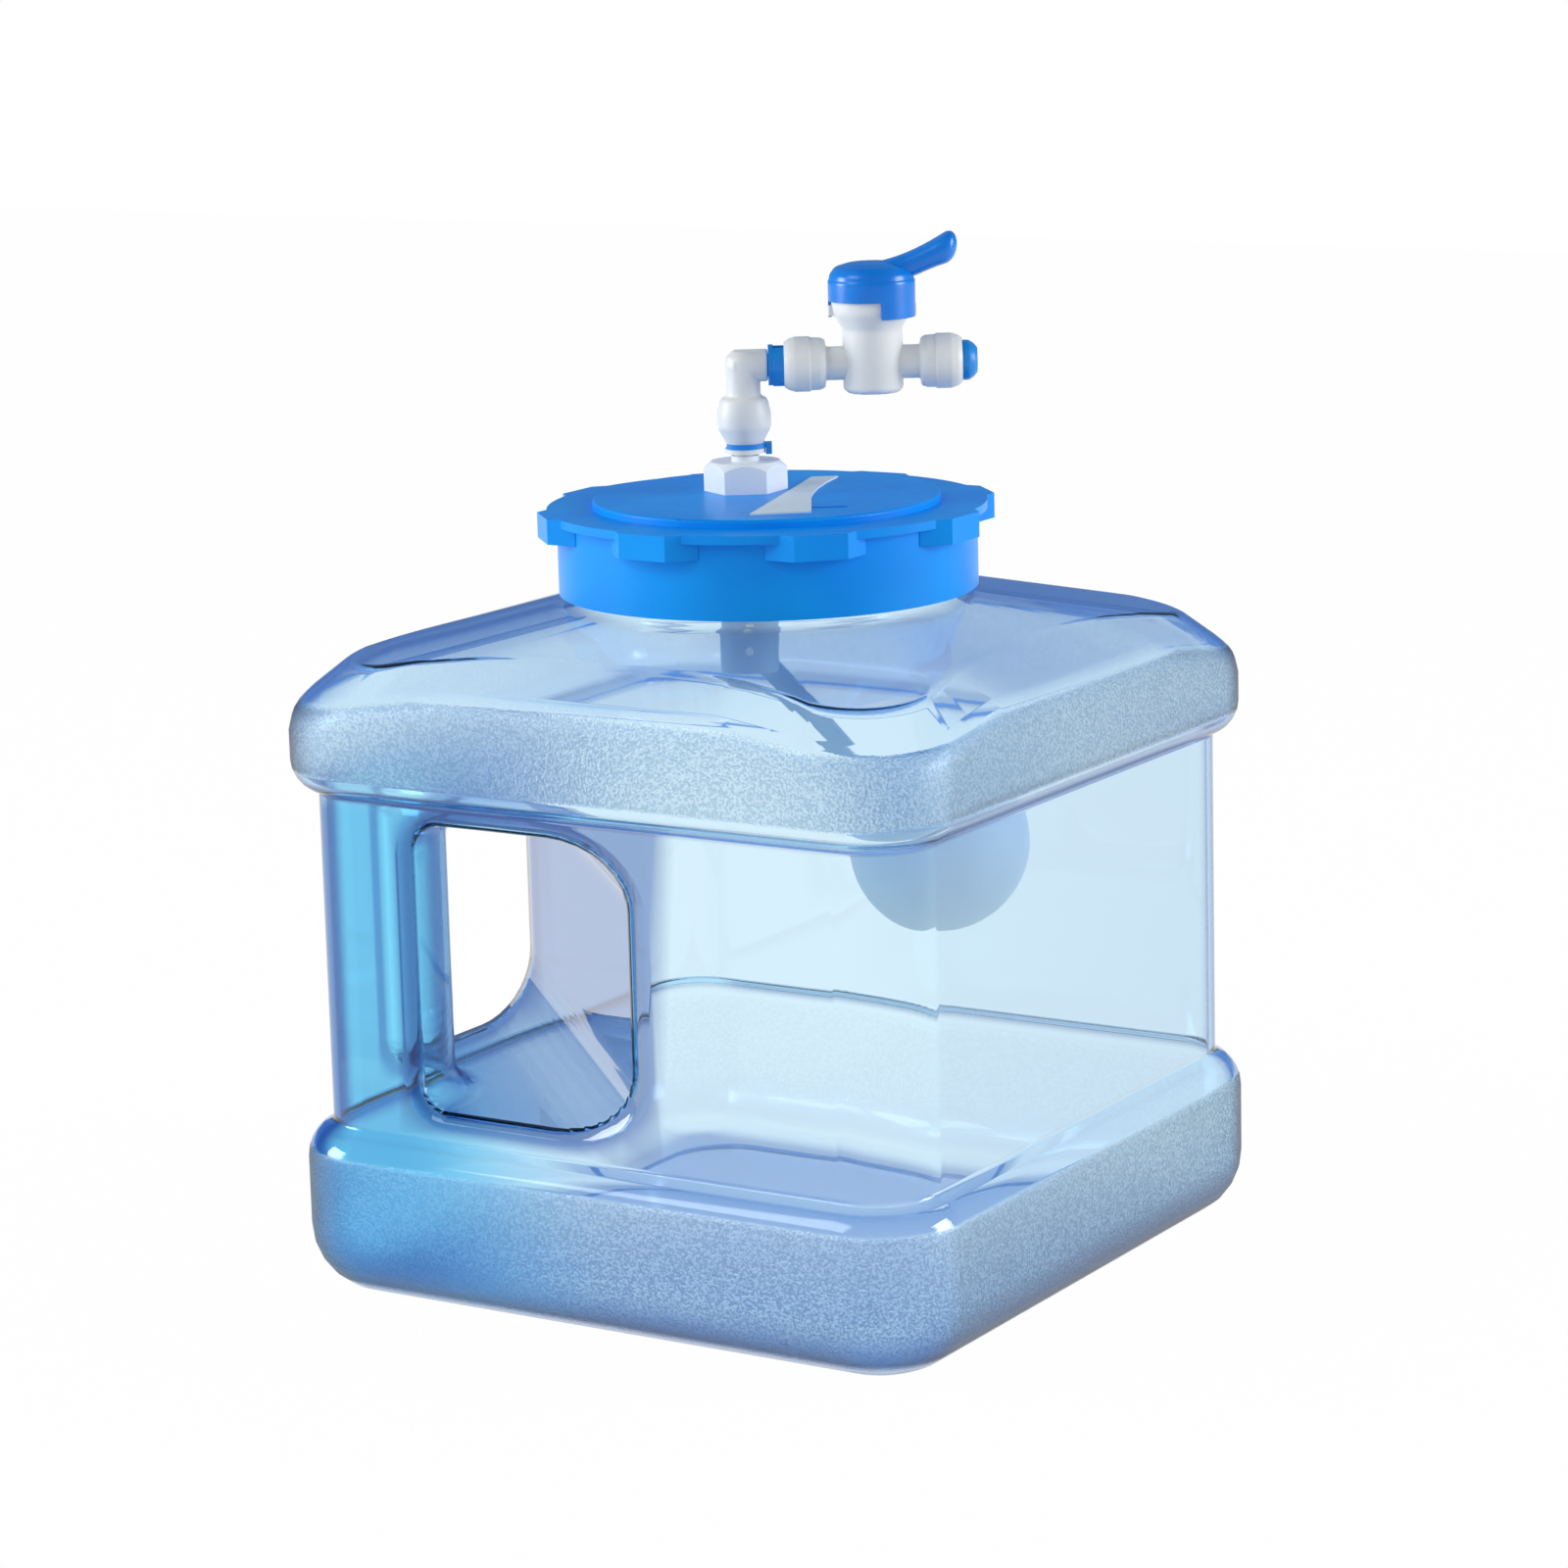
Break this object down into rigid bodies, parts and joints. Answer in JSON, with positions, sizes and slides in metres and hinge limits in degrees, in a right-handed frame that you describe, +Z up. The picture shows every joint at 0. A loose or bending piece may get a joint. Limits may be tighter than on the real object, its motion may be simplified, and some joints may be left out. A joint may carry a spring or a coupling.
{
  "type": "water container with float valve",
  "caption": "Square clear water container with a hollow carrying column, screw cap, float valve and a small inline tap on a push-fit elbow.",
  "frame": {"origin": "centre of the container's footprint, on the plane it stands on", "axes": "+Z up; +X and +Y square to the container's four walls, with the carrying column at the -X -Y corner"},
  "size_m": [0.225, 0.225, 0.3147],
  "materials": {
    "clear_blue_shell": "gloss",
    "cap_blue": "satin",
    "gasket_rubber": "matte",
    "pale_strip": "matte",
    "valve_white": "satin",
    "float_white": "satin",
    "pin_steel": "polished",
    "fitting_white": "satin",
    "clip_blue": "satin",
    "lever_blue": "gloss",
    "seal_rubber": "matte"
  },
  "bodies": {
    "container": {"container_body": "clear_blue_shell"},
    "gasket": {"cap_gasket": "gasket_rubber"},
    "cap": {"cap": "cap_blue", "cap_strip": "pale_strip", "float_valve_body": "valve_white", "lid_washer": "gasket_rubber", "lid_nut": "valve_white", "arm_pin": "pin_steel"},
    "float": {"float_arm": "float_white", "float_ball": "float_white"},
    "plunger": {"valve_plunger": "valve_white", "plunger_seal": "seal_rubber"},
    "elbow": {"elbow_body": "fitting_white", "elbow_collet": "fitting_white", "elbow_clip": "clip_blue", "elbow_seal": "seal_rubber"},
    "tap": {"tap_body": "fitting_white", "tap_inlet_collet": "clip_blue", "tap_inlet_clip": "clip_blue", "tap_inlet_seal": "seal_rubber", "tap_outlet_seal": "seal_rubber", "tap_seat_inlet": "gasket_rubber", "tap_seat_outlet": "gasket_rubber"},
    "lever": {"tap_lever": "lever_blue", "tap_ball": "fitting_white", "tap_stem_seal": "seal_rubber"},
    "outlet_collet": {"tap_outlet_collet": "clip_blue"}
  },
  "joints": [
    {"name": "cap_lift", "type": "slide", "parent": "container", "child": "gasket", "axis": [0, 0, 1], "range_m": [0, 0.0029]},
    {"name": "cap_turn", "type": "hinge", "parent": "gasket", "child": "cap", "pos_m": [0, 0, 0.22], "axis": [0, 0, 1], "range_deg": [0, 125]},
    {"name": "float_swing", "type": "hinge", "parent": "cap", "child": "float", "pos_m": [-0.01082, 0.00562, 0.187], "axis": [0.5299, -0.848, 0], "range_deg": [0, 28]},
    {"name": "plunger_lift", "type": "slide", "parent": "cap", "child": "plunger", "axis": [0, 0, 1], "range_m": [0, 0.00101]},
    {"name": "elbow_swivel", "type": "hinge", "parent": "cap", "child": "elbow", "pos_m": [-0.01082, 0.00562, 0.255], "axis": [0, 0, 1], "continuous": true},
    {"name": "tap_roll", "type": "hinge", "parent": "elbow", "child": "tap", "pos_m": [0.02259, 0.0265, 0.2743], "axis": [0.848, 0.5299, 0], "range_deg": [-90, 90]},
    {"name": "lever_turn", "type": "hinge", "parent": "tap", "child": "lever", "pos_m": [0.02259, 0.0265, 0.2743], "axis": [0, 0, -1], "range_deg": [0, 90]},
    {"name": "collet_press", "type": "slide", "parent": "tap", "child": "outlet_collet", "axis": [-0.848, -0.5299, 0], "range_m": [0, 0.0014], "stiffness_N_per_m": 200}
  ],
  "couplings": [
    {"joint": "cap_lift", "follows": "cap_turn", "m_per_rad": 0.001273},
    {"joint": "plunger_lift", "follows": "float_swing", "m_per_rad": 0.00205}
  ]
}
